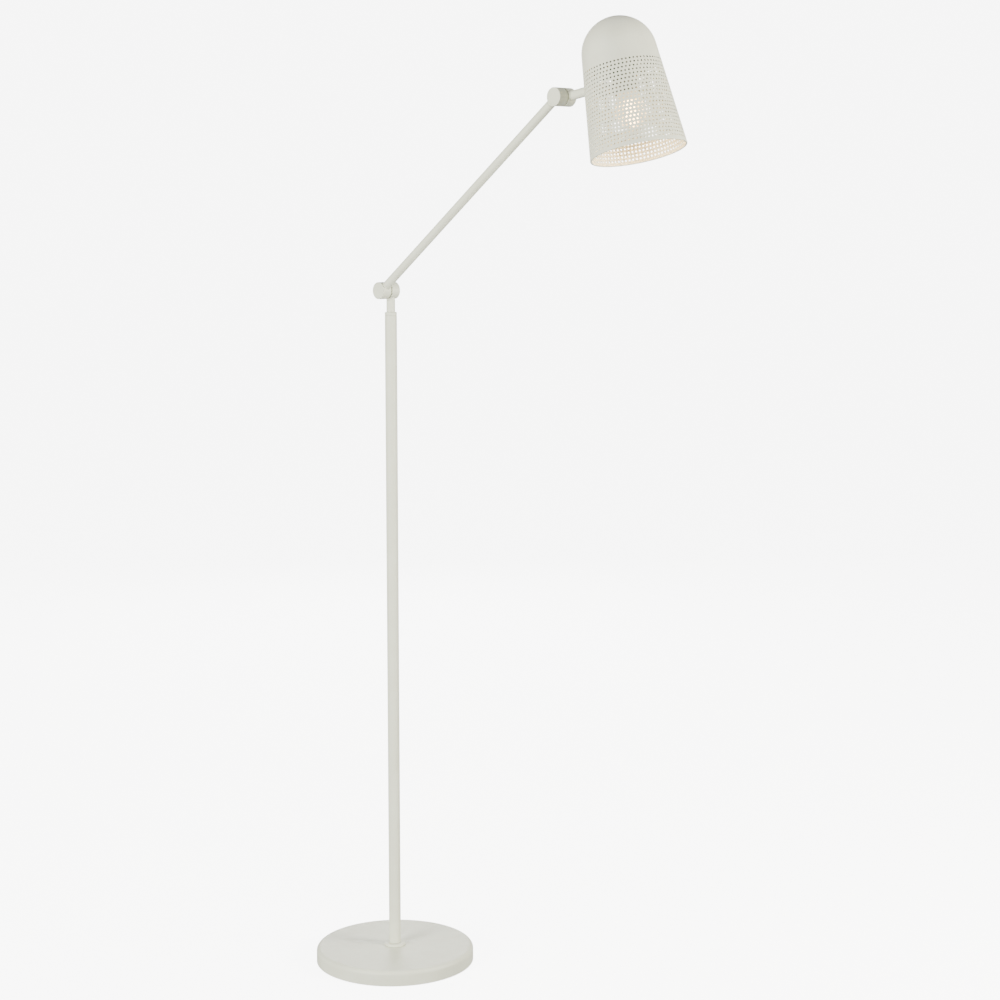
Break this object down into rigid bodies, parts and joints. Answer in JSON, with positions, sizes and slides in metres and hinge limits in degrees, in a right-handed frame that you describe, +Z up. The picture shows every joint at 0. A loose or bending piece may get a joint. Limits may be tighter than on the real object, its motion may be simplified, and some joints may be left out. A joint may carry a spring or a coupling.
{
  "type": "adjustable arm floor lamp",
  "caption": "Floor lamp with a heavy round base, straight pole, one straight swivelling arm on friction knuckles and a perforated round-topped shade that tilts.",
  "frame": {"origin": "centre of the base pad where it rests on the floor, under the pole", "axes": "+Z up along the pole, +X along the arm towards the shade, Y along the knuckle axes"},
  "size_m": [0.7174, 0.254, 1.4745],
  "materials": {
    "powder_coat": "matt warm off-white powder coat",
    "shade_coat": "matt warm off-white powder coat, lit from inside",
    "cast_iron": "raw casting",
    "foam": "closed-cell foam",
    "zinc_plate": "zinc plated steel",
    "brass": "plain brass",
    "nylon": "moulded nylon",
    "gland_rubber": "moulded rubber",
    "fibre": "vulcanised fibre",
    "phenolic": "black moulded phenolic",
    "ceramic": "glazed ceramic",
    "lead_sheath": "plastic insulation",
    "bulb_diffuser": "milky diffuser",
    "bulb_body": "white moulded plastic",
    "bulb_cap": "drawn aluminium"
  },
  "bodies": {
    "base": {"base_cover": "powder_coat", "base_weight": "cast_iron", "base_pad": "foam", "cord_gland": "gland_rubber", "threaded_nipple": "zinc_plate", "base_nut": "zinc_plate", "base_washer": "zinc_plate", "foot_flange": "powder_coat", "pole_foot_insert": "zinc_plate", "pole_tube": "powder_coat", "pole_collar": "powder_coat", "swivel_bush": "nylon", "pole_lead": "lead_sheath"},
    "swivel": {"swivel_stem": "powder_coat", "swivel_washer": "zinc_plate", "swivel_nut": "zinc_plate", "swivel_knuckle": "powder_coat", "swivel_knuckle_cap": "powder_coat", "lower_pivot_bolt": "zinc_plate", "lower_pivot_nut": "zinc_plate", "lower_friction_washer": "fibre", "stem_lead": "lead_sheath"},
    "arm": {"arm_knuckle_lower": "powder_coat", "arm_knuckle_cap_lower": "powder_coat", "arm_tube": "powder_coat", "arm_knuckle_upper": "powder_coat", "arm_knuckle_cap_upper": "powder_coat", "arm_lead": "lead_sheath"},
    "head": {"head_knuckle": "powder_coat", "head_knuckle_cap": "powder_coat", "upper_pivot_bolt": "zinc_plate", "upper_pivot_nut": "zinc_plate", "upper_friction_washer": "fibre", "head_stem": "powder_coat", "head_stem_washer": "zinc_plate", "head_stem_nut": "zinc_plate", "shade": "shade_coat", "socket_bracket": "zinc_plate", "socket_nipple": "zinc_plate", "socket_nut": "zinc_plate", "socket_cap": "phenolic", "socket_shell": "phenolic", "socket_insulator": "ceramic", "screw_shell": "brass", "centre_contact": "brass", "bulb_globe": "bulb_diffuser", "bulb_body": "bulb_body", "bulb_board": "ceramic", "bulb_cap": "bulb_cap", "head_lead": "lead_sheath"}
  },
  "joints": [
    {"name": "arm_swivel", "type": "hinge", "parent": "base", "child": "swivel", "pos_m": [0, 0, 1.0505], "axis": [0, 0, 1], "range_deg": [-170, 170]},
    {"name": "arm_tilt", "type": "hinge", "parent": "swivel", "child": "arm", "pos_m": [0, 0, 1.0845], "axis": [0, 1, 0], "range_deg": [-53, 85]},
    {"name": "head_tilt", "type": "hinge", "parent": "arm", "child": "head", "pos_m": [0.38183, 0, 1.36704], "axis": [0, 1, 0], "range_deg": [-90, 80]}
  ]
}
